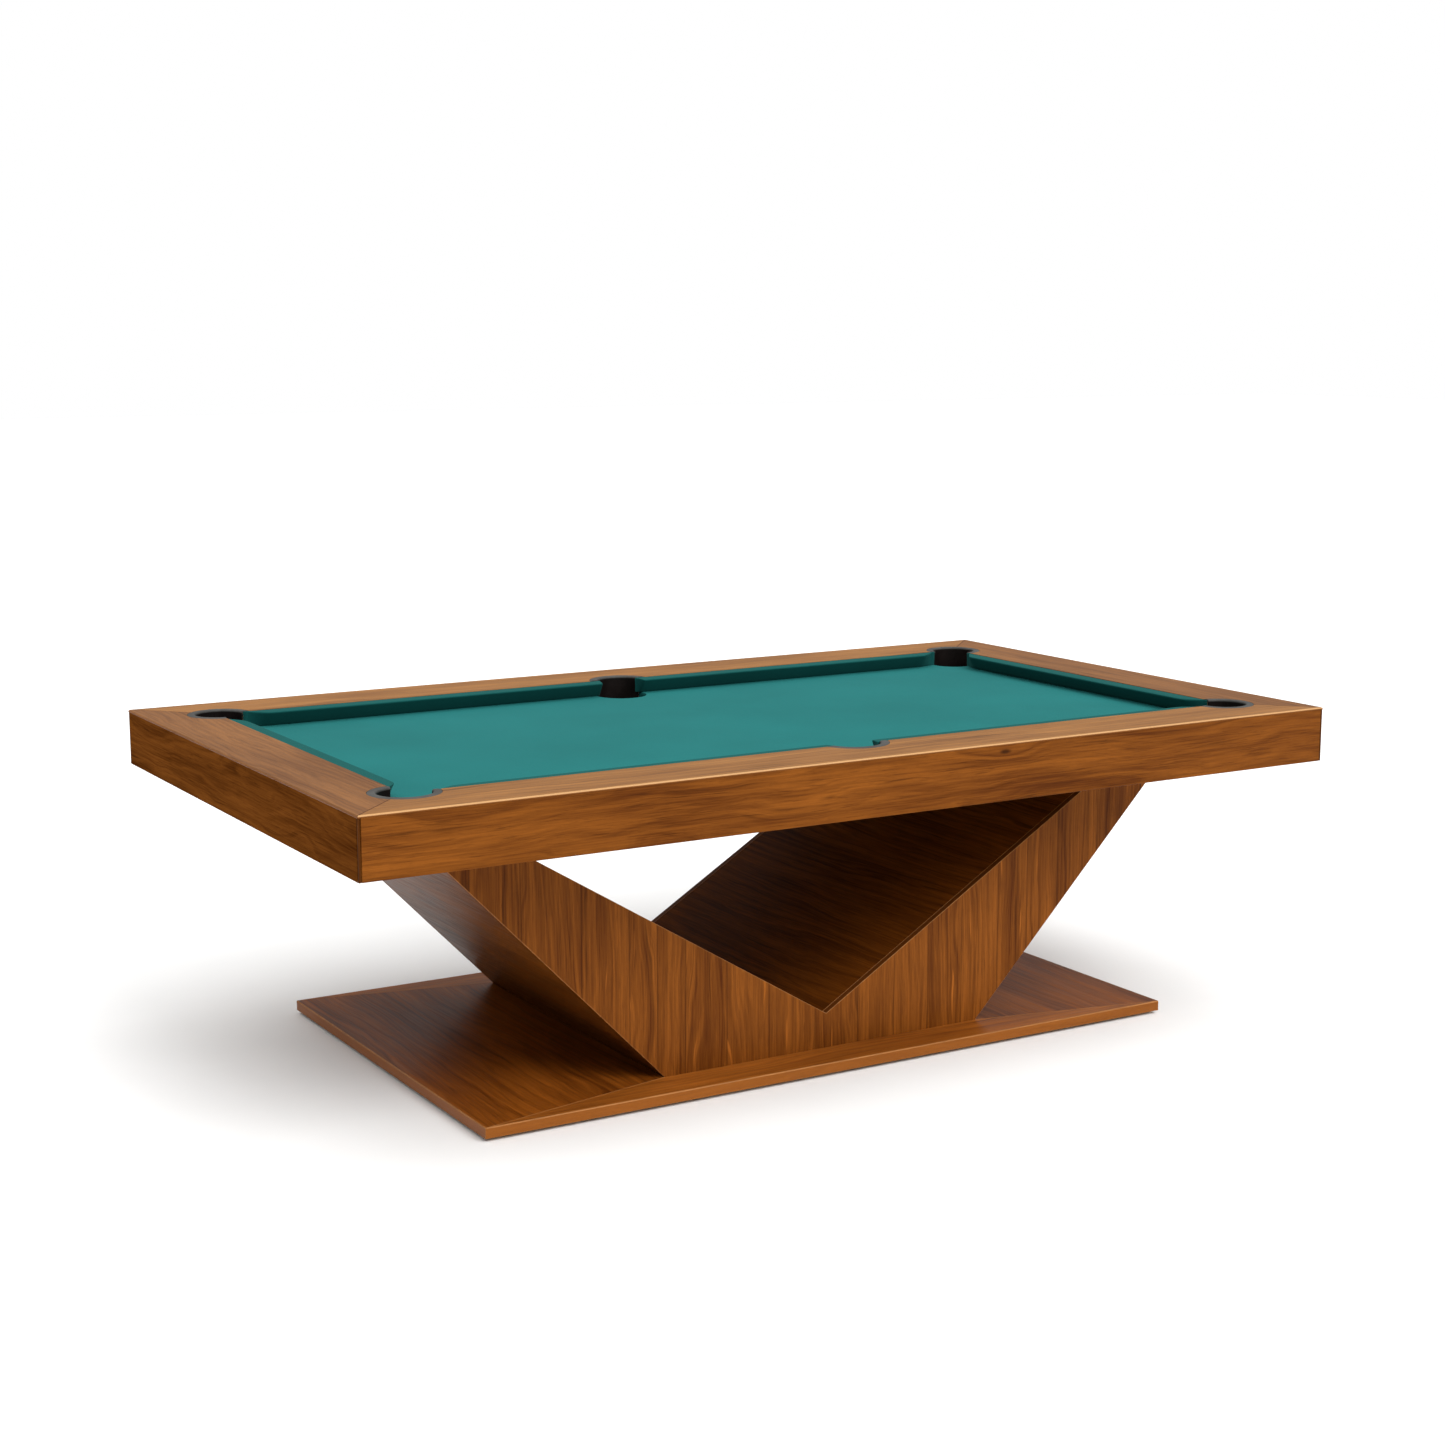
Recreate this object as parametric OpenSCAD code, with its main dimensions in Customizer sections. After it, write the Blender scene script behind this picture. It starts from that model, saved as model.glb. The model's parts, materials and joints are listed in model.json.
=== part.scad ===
// Eight-foot pool table with a V pedestal on a flat base plate.
// The origin is on the floor under the middle of the table.
// X runs along the table, Y across it, and +Z is up. All sizes are in millimetres.

/* [Playing field] */
// Length between the cushion noses
field_l = 2235; // [2130:5:2340]
// Width between the cushion noses
field_w = 1118; // [1070:2:1170]
// Height of the cushion nose above the cloth
nose_h = 36; // [35:0.5:37]
// Depth of a cushion, from its nose to the wood
cushion_d = 37; // [35:1:40]

/* [Rails] */
// Width of the wooden rail top
rail_w = 173; // [165:1:185]
// Height of the rail top above the floor
top_h = 810; // [790:1:830]
// Height of the rail top above the cloth
rail_rise = 41; // [40:0.5:43]
// Height of the apron round the table top
apron_h = 140; // [135:1:145]
// Thickness of the apron boards
apron_t = 25; // [22:1:28]
// Thickness of the rail caps
cap_t = 6; // [5:0.5:8]
// Width of the bevel along the outer edge of the rail caps
cap_bevel = 3; // [1:0.5:4]

/* [Pockets] */
// Radius of a corner pocket's hole
corner_hole_r = 60; // [58:1:62]
// Radius of a corner pocket's rim
corner_rim_r = 80; // [76:1:84]
// Distance from a corner pocket's centre to each outer side
corner_inset = 180; // [176:1:184]
// Radius of a side pocket's hole
side_hole_r = 66; // [64:1:68]
// Radius of a side pocket's rim
side_rim_r = 88; // [84:1:92]
// Distance from a side pocket's centre to the long outer side
side_inset = 195; // [192:1:198]
// Wall thickness of the pocket liners
liner_t = 4; // [3:0.5:5]
// Height of the pocket floor above the lower edge of the apron
bucket_rise = 6; // [4:1:10]

/* [Bed] */
// Thickness of the slate
slate_t = 25; // [22:1:28]
// Thickness of the bed cloth
cloth_t = 1; // [0.8:0.1:1.2]
// Height of the frame members under the slate
frame_h = 63; // [60:1:66]
// Width of the two long beams
beam_w = 45; // [40:1:50]
// Distance from the middle of the table to each long beam
beam_y = 455; // [450:1:460]

/* [Pedestal] */
// Half length of the foot of the pedestal
foot_x = 455; // [440:1:470]
// Half length of the pedestal at the apron's lower edge, outside
arm_out_x = 1074; // [1060:1:1090]
// Half length of the pedestal at the apron's lower edge, inside
arm_in_x = 908; // [895:1:920]
// Height of the bottom of the V
valley_z = 120; // [115:1:130]
// Depth of the pedestal, front to back
pedestal_d = 940; // [920:2:960]
// Thickness of the pedestal boards
board_t = 18; // [16:1:20]

/* [Base] */
// Length of the base plate
base_l = 1940; // [1900:5:1980]
// Width of the base plate
base_w = 1160; // [1140:2:1180]
// Height of the top of the base plate
base_h = 34; // [32:1:36]
// Gap between the floor and the base plate
base_gap = 8; // [7:0.5:9]
// Thickness of the veneered panels on the base plate
panel_t = 6; // [5:0.5:7]
// Radius of a levelling foot's pad
pad_r = 28; // [24:1:32]
// Radius of a levelling foot's screw
stem_r = 6; // [5:0.5:7]

/* [Hidden] */
$fn = 64;
eps = 0.3;
fit = 0.05;

nose_x = field_l / 2;
nose_y = field_w / 2;
line_x = nose_x + cushion_d;
line_y = nose_y + cushion_d;
out_x = line_x + rail_w;
out_y = line_y + rail_w;

cloth_z = top_h - rail_rise;
slate_z1 = cloth_z - cloth_t;
slate_z0 = slate_z1 - slate_t;
frame_z0 = slate_z0 - frame_h;
apron_z0 = top_h - apron_h;
cap_z0 = top_h - cap_t;
bucket_z = apron_z0 + bucket_rise;
nose_z = cloth_z + nose_h;
core_z1 = base_h - panel_t;

// Rim of a pocket, proud of the rail top
rim_proud = 1;
// Half mouth of a corner pocket along each nose line, and of a side pocket
corner_mouth = 90;
side_mouth = 65;
// Angle between a cushion's end and its nose line, at the corners and at the sides
corner_jaw = 38;
side_jaw = 76;

corner_x = out_x - corner_inset;
corner_y = out_y - corner_inset;
side_y = out_y - side_inset;

slate_x = line_x + 55.5;
slate_y = line_y + 54;
slate_joint = slate_x / 3;

// Holes in the slate past the pockets' centres: narrowing on each side, and length
slot_step = 3;
slot_l = 200;

// Corner bead: distance from the corner where the aprons stop, set-back and groove
bead_end = 6;
bead_back = 1;
groove_w = 1.8;
groove_d = 4;

apron_in_x = out_x - apron_t;
apron_in_y = out_y - apron_t;

// Frame members that cross the table: position, half width, half length
cross_x = (arm_out_x + arm_in_x) / 2;
cross_w = 60;
arm_cross_w = 120;
cross_long = apron_in_y - eps;
cross_short = beam_y + beam_w / 2;
half_lap = frame_z0 + frame_h / 2;

// Rail bolts: distance behind the wood line, and places along each rail
rail_bolt_back = 32;
rail_bolt_side = [250, 560, 870];
rail_bolt_end = [-250, 0, 250];
rail_bolt_r = 5;
// Slate screws: places along each beam
slate_screw_at = [60, 350, 464, 780, 1090];
slate_screw_r = 3;
slate_screw_l = 60;
slate_screw_head = 7;
// Bolts between the base, the pedestal and the frame
bolt_r = 5;
bolt_head_r = 9;
bolt_head_h = 7;
base_bolt_x = [130, 340];
base_bolt_y = 300;
arm_bolt_x = 1000;
arm_bolt_y = [80, 300];
arm_bolt_l = 58;

// Slopes of the pedestal's outer and inner faces
out_slope = (arm_out_x - foot_x) / (apron_z0 - base_h);
in_slope = arm_in_x / (apron_z0 - valley_z);
// Thickness of the slanted boards, measured level
out_level_t = board_t * sqrt(1 + out_slope * out_slope);
in_level_t = board_t * sqrt(1 + in_slope * in_slope);
in_upright_t = in_level_t / in_slope;
ped_y = pedestal_d / 2;
ped_in_y = ped_y - board_t;
floor_z1 = core_z1 + board_t;
arm_top_z0 = frame_z0 - board_t;

// Levelling feet
foot_at_x = 860;
foot_at_y = 470;
pad_h = 5;
stem_z1 = core_z1 - 3;
insert_t = 2;
lip_t = 10;

function out_at(z) = foot_x + (z - base_h) * out_slope;
function in_at(z) = (z - valley_z) * in_slope;
function hollow_out(z) = out_at(z) - out_level_t - fit;
function hollow_in(z) = in_at(z) + in_level_t + fit;
function long_plan(ix, iy, ox, oy) = [[-ox, -oy], [ox, -oy], [ix, -iy], [-ix, -iy]];
function short_plan(ix, iy, ox, oy) = [[-ox, -oy], [-ix, -iy], [-ix, iy], [-ox, oy]];

// ---- Helpers ----

// An upright prism on a plan outline
module slab(z0, z1, plan) {
    translate([0, 0, z0]) linear_extrude(z1 - z0) polygon(plan);
}

// A prism whose outline is drawn in X and Z, running from y0 to y1
module profile_y(y0, y1, outline) {
    translate([0, y1, 0]) rotate([90, 0, 0]) linear_extrude(y1 - y0) polygon(outline);
}

// A prism whose outline is drawn in Y and Z, running from x0 to x1
module profile_x(x0, x1, outline) {
    translate([x0, 0, 0]) rotate([90, 0, 90]) linear_extrude(x1 - x0) polygon(outline);
}

// A bar that bevels an edge along X or along Y by the width c
module bevel_x(y, z, c) {
    translate([0, y, z]) rotate([45, 0, 0]) cube([3 * out_x, c * sqrt(2), c * sqrt(2)], center = true);
}

module bevel_y(x, z, c) {
    translate([x, 0, z]) rotate([0, 45, 0]) cube([c * sqrt(2), 3 * out_y, c * sqrt(2)], center = true);
}

module corner_places() {
    for (sx = [-1, 1], sy = [-1, 1])
        translate([sx * corner_x, sy * corner_y, 0]) children();
}

module side_places() {
    for (sy = [-1, 1])
        translate([0, sy * side_y, 0]) children();
}

// Round holes at all six pockets
module pocket_bores(z, h, corner_r, side_r) {
    corner_places() translate([0, 0, z]) cylinder(h = h, r = corner_r);
    side_places() translate([0, 0, z]) cylinder(h = h, r = side_r);
}

// Holes at the pockets that run out to the edge of the slate, a little narrower past the pocket's centre
module pocket_slots(z, h) {
    r_corner = corner_hole_r + liner_t + 0.5;
    r_side = side_hole_r + liner_t + 0.5;
    half_corner = r_corner - slot_step;
    half_side = r_side - slot_step;
    pocket_bores(z, h, r_corner, r_side);
    for (sx = [-1, 1], sy = [-1, 1])
        translate([sx * corner_x, sy * corner_y, z]) rotate([0, 0, atan2(sy, sx)])
            translate([0, -half_corner, 0]) cube([slot_l, 2 * half_corner, h]);
    for (sy = [-1, 1])
        translate([-half_side, sy > 0 ? side_y : -side_y - slot_l, z]) cube([2 * half_side, slot_l, h]);
}

module rail_bolt_places() {
    for (x = rail_bolt_side, sx = [-1, 1], sy = [-1, 1])
        translate([sx * x, sy * (line_y + rail_bolt_back), 0]) children();
    for (y = rail_bolt_end, sx = [-1, 1])
        translate([sx * (line_x + rail_bolt_back), y, 0]) children();
}

module slate_screw_places() {
    for (x = slate_screw_at, sx = [-1, 1], sy = [-1, 1])
        translate([sx * x, sy * beam_y, 0]) children();
}

module base_bolt_places() {
    for (x = base_bolt_x, sx = [-1, 1], sy = [-1, 1])
        translate([sx * x, sy * base_bolt_y, 0]) children();
}

module arm_bolt_places() {
    for (y = arm_bolt_y, sx = [-1, 1], sy = [-1, 1])
        translate([sx * arm_bolt_x, sy * y, 0]) children();
}

module foot_places() {
    for (sx = [-1, 1], sy = [-1, 1])
        translate([sx * foot_at_x, sy * foot_at_y, 0]) children();
}

// Hexagon-head bolt with its head below z and its shank above it
module bolt(z, r, head_r, head_h, l) {
    translate([0, 0, z - head_h]) cylinder(h = head_h, r = head_r, $fn = 6);
    translate([0, 0, z - head_h / 2]) cylinder(h = l + head_h / 2, r = r);
}

// ---- Base ----

module base_core() {
    color("peru") difference() {
        translate([-base_l / 2 + lip_t + eps, -base_w / 2 + lip_t + eps, base_gap])
            cube([base_l - 2 * (lip_t + eps), base_w - 2 * (lip_t + eps), core_z1 - base_gap]);
        foot_places() translate([0, 0, base_gap - 1])
            cylinder(h = stem_z1 - base_gap + 2, r = stem_r + insert_t + fit);
        base_bolt_places() {
            translate([0, 0, base_gap - 1]) cylinder(h = bolt_head_h + 2, r = bolt_head_r + 2);
            translate([0, 0, base_gap]) cylinder(h = base_h, r = bolt_r + eps);
        }
    }
}

// Panel with a folded-down outer edge, mitred to its neighbours at the base corners
module base_panel_long() {
    color("sienna") difference() {
        union() {
            slab(core_z1, base_h, long_plan(foot_x + eps, ped_y + eps, base_l / 2, base_w / 2));
            slab(base_gap, core_z1,
                long_plan(base_l / 2 - lip_t, base_w / 2 - lip_t, base_l / 2, base_w / 2));
        }
        bevel_x(-base_w / 2, base_h, 1.5);
    }
}

module base_panel_short() {
    color("saddlebrown") difference() {
        union() {
            slab(core_z1, base_h, short_plan(foot_x + eps, ped_y + eps, base_l / 2, base_w / 2));
            slab(base_gap, core_z1,
                short_plan(base_l / 2 - lip_t, base_w / 2 - lip_t, base_l / 2, base_w / 2));
        }
        bevel_y(-base_l / 2, base_h, 1.5);
    }
}

module levelling_inserts() {
    color("goldenrod") foot_places() difference() {
        translate([0, 0, base_gap]) cylinder(h = stem_z1 - base_gap, r = stem_r + insert_t);
        translate([0, 0, base_gap - 1]) cylinder(h = stem_z1, r = stem_r + fit);
    }
}

module levelling_foot(sx, sy) {
    color("silver") translate([sx * foot_at_x, sy * foot_at_y, 0]) {
        cylinder(h = pad_h - 2, r = pad_r);
        translate([0, 0, pad_h - 2]) cylinder(h = 2, r1 = pad_r, r2 = 2 * stem_r);
        cylinder(h = stem_z1 - 1, r = stem_r);
    }
}

// ---- Pedestal ----

module pedestal_face_panel() {
    color("sienna") profile_y(-ped_y, -ped_in_y, [
        [-out_at(core_z1), core_z1], [out_at(core_z1), core_z1],
        [out_at(frame_z0), frame_z0], [in_at(frame_z0), frame_z0],
        [0, valley_z],
        [-in_at(frame_z0), frame_z0], [-out_at(frame_z0), frame_z0]
    ]);
}

module pedestal_outer_panel() {
    color("saddlebrown") profile_y(-ped_in_y, ped_in_y, [
        [out_at(core_z1), core_z1], [out_at(frame_z0), frame_z0],
        [out_at(frame_z0) - out_level_t, frame_z0], [out_at(core_z1) - out_level_t, core_z1]
    ]);
}

module pedestal_inner_panel() {
    color("maroon") profile_y(-ped_in_y, ped_in_y, [
        [0, valley_z], [in_at(frame_z0), frame_z0],
        [in_at(frame_z0) + in_level_t, frame_z0], [0, valley_z - in_upright_t]
    ]);
}

module pedestal_floor() {
    color("burlywood") difference() {
        profile_y(-ped_in_y, ped_in_y, [
            [-hollow_out(core_z1), core_z1], [hollow_out(core_z1), core_z1],
            [hollow_out(floor_z1), floor_z1], [-hollow_out(floor_z1), floor_z1]
        ]);
        base_bolt_places() translate([0, 0, core_z1 - 1]) cylinder(h = board_t + 2, r = bolt_r + 0.2);
    }
}

module pedestal_arm_top() {
    color("burlywood") difference() {
        profile_y(-ped_in_y, ped_in_y, [
            [hollow_in(arm_top_z0), arm_top_z0], [hollow_out(arm_top_z0), arm_top_z0],
            [hollow_out(frame_z0), frame_z0], [hollow_in(frame_z0), frame_z0]
        ]);
        arm_bolt_places() translate([0, 0, arm_top_z0 - 1]) cylinder(h = board_t + 2, r = bolt_r + 0.2);
    }
}

module pedestal_rib() {
    color("burlywood") profile_y(-board_t / 2, board_t / 2, [
        [-hollow_out(floor_z1), floor_z1], [hollow_out(floor_z1), floor_z1],
        [hollow_out(arm_top_z0), arm_top_z0], [hollow_in(arm_top_z0), arm_top_z0],
        [0, valley_z - in_upright_t - fit],
        [-hollow_in(arm_top_z0), arm_top_z0], [-hollow_out(arm_top_z0), arm_top_z0]
    ]);
}

module base_bolts() {
    color("gray") base_bolt_places()
        bolt(base_gap + bolt_head_h + 1, bolt_r, bolt_head_r, bolt_head_h, floor_z1 - base_gap - 10);
}

module arm_bolts() {
    color("gray") arm_bolt_places() bolt(arm_top_z0, bolt_r, bolt_head_r, bolt_head_h, arm_bolt_l);
}

// ---- Frame under the slate ----

module frame_beam() {
    color("tan") difference() {
        translate([-apron_in_x + eps, -beam_y - beam_w / 2, frame_z0])
            cube([2 * (apron_in_x - eps), beam_w, frame_h]);
        for (x = [-slate_joint, 0, slate_joint])
            translate([x - cross_w / 2, -out_y, half_lap]) cube([cross_w, 2 * out_y, frame_h]);
        for (x = [-cross_x, cross_x])
            translate([x - arm_cross_w / 2, -out_y, half_lap]) cube([arm_cross_w, 2 * out_y, frame_h]);
        slate_screw_places() translate([0, 0, slate_z1 - slate_screw_l - 1])
            cylinder(h = slate_screw_l, r = slate_screw_r + 0.1);
    }
}

module frame_cross(x, w, half_l) {
    color("tan") difference() {
        translate([x - w / 2, -half_l, frame_z0]) cube([w, 2 * half_l, frame_h]);
        for (sy = [-1, 1])
            translate([x - w, sy * beam_y - beam_w / 2, frame_z0 - 1]) cube([2 * w, beam_w, frame_h / 2 + 1]);
        arm_bolt_places() translate([0, 0, frame_z0 - 1])
            cylinder(h = arm_bolt_l - board_t + 2, r = bolt_r + 0.2);
    }
}

// ---- Bed ----

module slate(x0, x1) {
    color("slategray") difference() {
        translate([x0, -slate_y, slate_z0]) cube([x1 - x0, 2 * slate_y, slate_t]);
        pocket_slots(slate_z0 - 1, slate_t + 2);
        rail_bolt_places() translate([0, 0, slate_z0 - 1]) cylinder(h = slate_t + 2, r = rail_bolt_r + 1);
        slate_screw_places() {
            translate([0, 0, slate_z0 - 1]) cylinder(h = slate_t + 2, r = slate_screw_r + 0.5);
            translate([0, 0, slate_z1 - 5])
                cylinder(h = 5.5, r1 = slate_screw_r + 0.5, r2 = slate_screw_head + 1.05);
        }
    }
}

module slate_screws() {
    color("gray") slate_screw_places() {
        translate([0, 0, slate_z1 - slate_screw_l]) cylinder(h = slate_screw_l - 1, r = slate_screw_r);
        translate([0, 0, slate_z1 - 5]) cylinder(h = 4.5, r1 = slate_screw_r, r2 = slate_screw_head);
    }
}

module bed_cloth() {
    color("teal") difference() {
        translate([-slate_x, -slate_y, slate_z1]) cube([2 * slate_x, 2 * slate_y, cloth_t]);
        pocket_slots(slate_z1 - 1, 3);
        rail_bolt_places() translate([0, 0, slate_z1 - 1]) cylinder(h = 3, r = rail_bolt_r + 1);
    }
}

// ---- Rails ----

module rail_cuts() {
    pocket_bores(cloth_z - 1, rail_rise, corner_hole_r + liner_t + eps, side_hole_r + liner_t + eps);
    rail_bolt_places() translate([0, 0, cloth_z - 1]) cylinder(h = 25, r = rail_bolt_r + 0.2);
}

module rail_body_long() {
    color("wheat") difference() {
        slab(cloth_z, cap_z0, long_plan(line_x - 0.2, line_y, line_x + rail_w - apron_t - 0.5,
            apron_in_y - eps));
        rail_cuts();
    }
}

module rail_body_short() {
    color("wheat") difference() {
        slab(cloth_z, cap_z0, short_plan(line_x, line_y - 0.2, apron_in_x - eps,
            line_y + rail_w - apron_t - 0.5));
        rail_cuts();
    }
}

module rail_bolts() {
    color("gray") rail_bolt_places()
        bolt(slate_z0, rail_bolt_r, bolt_head_r, bolt_head_h, slate_t + cloth_t + 22);
}

module cap_cuts() {
    pocket_bores(cap_z0 - 1, cap_t + 2, corner_rim_r + eps, side_rim_r + eps);
}

module rail_cap_long() {
    color("burlywood") difference() {
        slab(cap_z0, top_h, long_plan(line_x - 0.1, line_y, out_x - 0.1, out_y));
        cap_cuts();
        bevel_x(-out_y, top_h, cap_bevel);
    }
}

module rail_cap_short() {
    color("burlywood") difference() {
        slab(cap_z0, top_h, short_plan(line_x, line_y - 0.1, out_x, out_y - 0.1));
        cap_cuts();
        bevel_y(-out_x, top_h, cap_bevel);
    }
}

// ---- Aprons ----

// Half outline of an apron's end, outside the mitre: along, across
function apron_end(along, out) = [
    [along - apron_t, out - apron_t],
    [along - bead_end, out - bead_end],
    [along - bead_end, out - groove_d],
    [along - bead_end - groove_w, out - groove_d],
    [along - bead_end - groove_w, out]
];

module apron_long() {
    ends = apron_end(out_x, out_y);
    plan = concat([for (p = ends) [p[0], -p[1]]], [for (i = [4:-1:0]) [-ends[i][0], -ends[i][1]]]);
    color("sienna") difference() {
        slab(apron_z0, cap_z0, plan);
        bevel_x(-out_y, apron_z0, 1);
    }
}

module apron_short() {
    ends = apron_end(out_y, out_x);
    plan = concat([for (p = ends) [-p[1], p[0]]], [for (i = [4:-1:0]) [-ends[i][1], -ends[i][0]]]);
    color("saddlebrown") difference() {
        slab(apron_z0, cap_z0, plan);
        bevel_y(-out_x, apron_z0, 1);
    }
}

module corner_beads() {
    size = bead_end - bead_back;
    color("brown") for (sx = [-1, 1], sy = [-1, 1])
        translate([sx * (out_x - bead_back - size / 2), sy * (out_y - bead_back - size / 2), apron_z0])
            translate([-size / 2, -size / 2, 0]) cube([size, size, cap_z0 - apron_z0]);
}

// ---- Cushions ----

// Section of a cushion: depth behind the nose, height
function cushion_section() = [
    [0, nose_z - 1.5], [0.62 * cushion_d, cloth_z + 3], [cushion_d - 0.2, cloth_z + 1],
    [cushion_d - 0.2, top_h - 0.8], [5, nose_z + 2.8], [0, nose_z + 0.8]
];

module cushion_quarter() {
    x_corner = nose_x - corner_mouth;
    x_wood = x_corner + cushion_d / tan(corner_jaw);
    x_side = side_mouth;
    x_side_wood = side_mouth - cushion_d / tan(side_jaw);
    color("darkcyan") intersection() {
        profile_x(-x_wood, 0, [for (p = cushion_section()) [-nose_y - p[0], p[1]]]);
        slab(cloth_z, top_h, [[-x_corner, -nose_y], [-x_wood, -line_y], [-x_side_wood, -line_y],
            [-x_side, -nose_y]]);
    }
}

module cushion_end() {
    y_corner = nose_y - corner_mouth;
    y_wood = y_corner + cushion_d / tan(corner_jaw);
    color("darkcyan") intersection() {
        profile_y(-y_wood, y_wood, [for (p = cushion_section()) [-nose_x - p[0], p[1]]]);
        slab(cloth_z, top_h, [[-nose_x, -y_corner], [-line_x, -y_wood], [-line_x, y_wood],
            [-nose_x, y_corner]]);
    }
}

// ---- Pockets ----

// Bucket under the slate, with a wall and a rim on the side away from the playing field
module pocket(x, y, hole_r, rim_r) {
    wall_z = slate_z0 - 0.5;
    color("dimgray") {
        difference() {
            union() {
                translate([x, y, bucket_z]) cylinder(h = top_h - cap_t / 2 - bucket_z, r = hole_r + liner_t);
                translate([x, y, cap_z0 + eps]) cylinder(h = cap_t + rim_proud - eps, r = rim_r);
            }
            translate([x, y, bucket_z + liner_t]) cylinder(h = top_h, r = hole_r);
            translate([-line_x, -line_y, wall_z]) cube([2 * line_x, 2 * line_y, top_h]);
        }
    }
}

// ---- Nodes ----

base_core();
base_panel_long();  // base_panel_front
mirror([0, 1, 0]) base_panel_long();  // base_panel_back
base_panel_short();  // base_panel_left
mirror([1, 0, 0]) base_panel_short();  // base_panel_right
levelling_inserts();
levelling_foot(-1, -1);  // levelling_foot_front_left
levelling_foot(1, -1);  // levelling_foot_front_right
levelling_foot(-1, 1);  // levelling_foot_back_left
levelling_foot(1, 1);  // levelling_foot_back_right
pedestal_face_panel();  // pedestal_front_panel
mirror([0, 1, 0]) pedestal_face_panel();  // pedestal_back_panel
mirror([1, 0, 0]) pedestal_outer_panel();  // pedestal_outer_panel_left
pedestal_outer_panel();  // pedestal_outer_panel_right
mirror([1, 0, 0]) pedestal_inner_panel();  // pedestal_inner_panel_left
pedestal_inner_panel();  // pedestal_inner_panel_right
pedestal_floor();
mirror([1, 0, 0]) pedestal_arm_top();  // pedestal_arm_top_left
pedestal_arm_top();  // pedestal_arm_top_right
pedestal_rib();
base_bolts();
arm_bolts();
frame_beam();  // frame_beam_front
mirror([0, 1, 0]) frame_beam();  // frame_beam_back
frame_cross(-cross_x, arm_cross_w, cross_long);  // frame_cross_arm_left
frame_cross(-slate_joint, cross_w, cross_long);  // frame_cross_joint_left
frame_cross(0, cross_w, cross_short);  // frame_cross_centre
frame_cross(slate_joint, cross_w, cross_long);  // frame_cross_joint_right
frame_cross(cross_x, arm_cross_w, cross_long);  // frame_cross_arm_right
slate(-slate_x, -slate_joint - 0.1);  // slate_left
slate(-slate_joint, slate_joint);  // slate_centre
slate(slate_joint + 0.1, slate_x);  // slate_right
slate_screws();
bed_cloth();
rail_body_long();  // rail_body_front
mirror([0, 1, 0]) rail_body_long();  // rail_body_back
rail_body_short();  // rail_body_left
mirror([1, 0, 0]) rail_body_short();  // rail_body_right
rail_bolts();
rail_cap_long();  // rail_cap_front
mirror([0, 1, 0]) rail_cap_long();  // rail_cap_back
rail_cap_short();  // rail_cap_left
mirror([1, 0, 0]) rail_cap_short();  // rail_cap_right
apron_long();  // apron_front
mirror([0, 1, 0]) apron_long();  // apron_back
apron_short();  // apron_left
mirror([1, 0, 0]) apron_short();  // apron_right
corner_beads();
cushion_quarter();  // cushion_front_left
mirror([1, 0, 0]) cushion_quarter();  // cushion_front_right
mirror([0, 1, 0]) cushion_quarter();  // cushion_back_left
mirror([1, 0, 0]) mirror([0, 1, 0]) cushion_quarter();  // cushion_back_right
cushion_end();  // cushion_left
mirror([1, 0, 0]) cushion_end();  // cushion_right
pocket(-corner_x, -corner_y, corner_hole_r, corner_rim_r);  // pocket_front_left
pocket(corner_x, -corner_y, corner_hole_r, corner_rim_r);  // pocket_front_right
pocket(-corner_x, corner_y, corner_hole_r, corner_rim_r);  // pocket_back_left
pocket(corner_x, corner_y, corner_hole_r, corner_rim_r);  // pocket_back_right
pocket(0, -side_y, side_hole_r, side_rim_r);  // pocket_side_front
pocket(0, side_y, side_hole_r, side_rim_r);  // pocket_side_back
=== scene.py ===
import json
import math

import bmesh
import bpy
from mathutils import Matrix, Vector


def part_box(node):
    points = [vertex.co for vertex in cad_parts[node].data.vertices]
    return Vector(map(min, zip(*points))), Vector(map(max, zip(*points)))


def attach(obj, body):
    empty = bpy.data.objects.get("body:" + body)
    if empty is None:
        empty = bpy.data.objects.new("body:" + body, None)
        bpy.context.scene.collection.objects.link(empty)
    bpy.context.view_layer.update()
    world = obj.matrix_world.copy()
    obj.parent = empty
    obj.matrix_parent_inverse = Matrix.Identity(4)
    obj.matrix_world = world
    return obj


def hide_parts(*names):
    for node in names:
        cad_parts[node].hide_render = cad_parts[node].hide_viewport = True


# Looks of an eight-foot pool table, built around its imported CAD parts.
# Everything is in metres, in the frame of the CAD model: X along the table, Y across it, Z up.

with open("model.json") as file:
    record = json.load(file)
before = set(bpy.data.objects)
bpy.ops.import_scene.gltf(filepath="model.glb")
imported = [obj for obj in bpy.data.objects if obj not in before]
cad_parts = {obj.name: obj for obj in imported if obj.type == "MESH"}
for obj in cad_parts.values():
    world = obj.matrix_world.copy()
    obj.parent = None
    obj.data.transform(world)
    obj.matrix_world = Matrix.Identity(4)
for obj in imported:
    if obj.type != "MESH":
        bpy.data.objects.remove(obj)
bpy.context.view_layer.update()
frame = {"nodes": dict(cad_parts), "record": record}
nodes = frame["nodes"]
slot_of = {part["node"]: part["material_slot"] for part in frame["record"]["subparts"]}

MM = 0.001

# Camera
CAMERA_AT = (-3.0687, -5.1197, 1.7831)
CAMERA_YAW = 0.5378
CAMERA_PITCH = 0.1676
CAMERA_LENS = 58.69
CAMERA_SENSOR = 36.0
CAMERA_REACH = 200.0

# Colours are linear red, green and blue.
WHITE = (1.0, 1.0, 1.0)
VIEWPORT_COLOUR = (0.4, 0.3, 0.2, 1)


def linear(red, green, blue):
    """A colour given as 0 to 255 in sRGB, as linear values."""
    return tuple(((c / 255 + 0.055) / 1.055) ** 2.4 for c in (red, green, blue))


# ---- Node materials ----


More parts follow.
